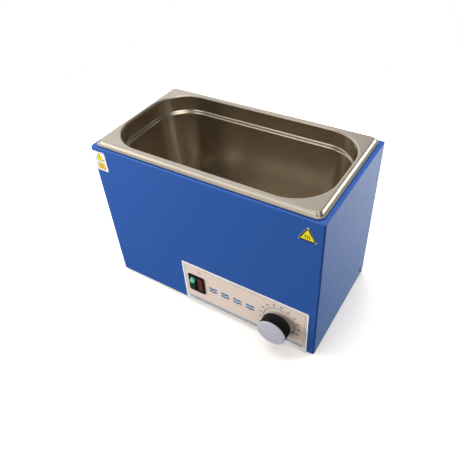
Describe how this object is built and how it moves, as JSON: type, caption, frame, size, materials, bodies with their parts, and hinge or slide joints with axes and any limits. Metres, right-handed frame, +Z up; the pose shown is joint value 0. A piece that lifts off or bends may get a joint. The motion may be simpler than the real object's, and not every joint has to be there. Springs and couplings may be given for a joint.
{
  "type": "laboratory water bath",
  "caption": "Benchtop water bath: deep rectangular steel tank hung by its rim in a blue folded case, with switch, dial and mains inlet.",
  "frame": {"origin": "on the surface the feet stand on, at the middle of the object's overall length and depth", "axes": "+Z up, +X to the viewer's right along the tank's length, -Y out of the control panel on the front, +Y out of the mains inlet on the back"},
  "size_m": [0.3412, 0.2108, 0.2435],
  "materials": {
    "blue_enamel": "satin powder coat",
    "zinc_steel": "zinc-plated steel",
    "stainless": "satin drawn stainless steel",
    "black_rubber": "matte",
    "white_wool": "mineral wool",
    "orange_silicone": "matte moulded silicone",
    "aluminium_sheet": "mill finish",
    "black_plastic": "moulded satin",
    "copper": "drawn copper",
    "brass_turned": "turned",
    "grey_cap": "satin",
    "cream_film": "printed film",
    "white_label": "printed film",
    "yellow_label": "printed film",
    "green_rocker": "translucent, lit from inside",
    "red_lens": "translucent",
    "lamp_glass": "clear",
    "brown_wire": "insulated wire",
    "blue_wire": "insulated wire",
    "earth_wire": "insulated wire"
  },
  "bodies": {
    "case": {"case_shell": "blue_enamel", "base_plate": "zinc_steel", "tank_pan": "stainless", "rim_gasket": "black_rubber", "tank_insulation": "white_wool", "heater_mat": "orange_silicone", "heater_insulation": "white_wool", "heater_tray": "aluminium_sheet", "tray_nut_left": "zinc_steel", "tray_nut_right": "zinc_steel", "thermal_cutout": "black_plastic", "sensor_bulb": "copper", "bulb_clip_left": "zinc_steel", "bulb_clip_right": "zinc_steel", "thermostat_capillary": "copper", "thermostat_body": "zinc_steel", "thermostat_nut": "zinc_steel", "control_panel": "cream_film", "notice_label": "white_label", "hot_surface_label": "yellow_label", "switch_housing": "black_plastic", "switch_terminal_live_in": "brass_turned", "switch_terminal_live_out": "brass_turned", "switch_terminal_neutral_in": "brass_turned", "switch_terminal_neutral_out": "brass_turned", "indicator_lens": "red_lens", "neon_lamp": "lamp_glass", "inlet_housing": "black_plastic", "inlet_pin_live": "brass_turned", "inlet_pin_neutral": "brass_turned", "inlet_pin_earth": "brass_turned", "inlet_screw_left": "zinc_steel", "inlet_screw_right": "zinc_steel", "inlet_nut_left": "zinc_steel", "inlet_nut_right": "zinc_steel", "earth_stud": "brass_turned", "earth_nut": "brass_turned", "foot_front_left": "black_rubber", "foot_front_right": "black_rubber", "foot_rear_left": "black_rubber", "foot_rear_right": "black_rubber", "base_screw_front_left": "zinc_steel", "base_screw_front_right": "zinc_steel", "base_screw_rear_left": "zinc_steel", "base_screw_rear_right": "zinc_steel", "wire_supply_live": "brown_wire", "wire_supply_neutral": "blue_wire", "wire_switched_live": "brown_wire", "wire_heater_live": "brown_wire", "wire_heater_neutral": "blue_wire", "wire_earth": "earth_wire"},
    "knob": {"knob_body": "black_plastic", "knob_cap": "grey_cap", "knob_set_screw": "zinc_steel", "thermostat_spindle": "brass_turned"},
    "rocker": {"power_rocker": "green_rocker"},
    "fuse_drawer": {"fuse_drawer": "black_plastic", "fuse": "zinc_steel"}
  },
  "joints": [
    {"name": "knob_turn", "type": "hinge", "parent": "case", "child": "knob", "pos_m": [0.116, -0.08096, 0.045], "axis": [0, 1, 0], "range_deg": [0, 220]},
    {"name": "rocker_tilt", "type": "hinge", "parent": "case", "child": "rocker", "pos_m": [-0.0235, -0.08006, 0.047], "axis": [1, 0, 0], "range_deg": [0, 22]},
    {"name": "fuse_drawer_slide", "type": "slide", "parent": "case", "child": "fuse_drawer", "axis": [0, 1, 0], "range_m": [0, 0.016]}
  ]
}
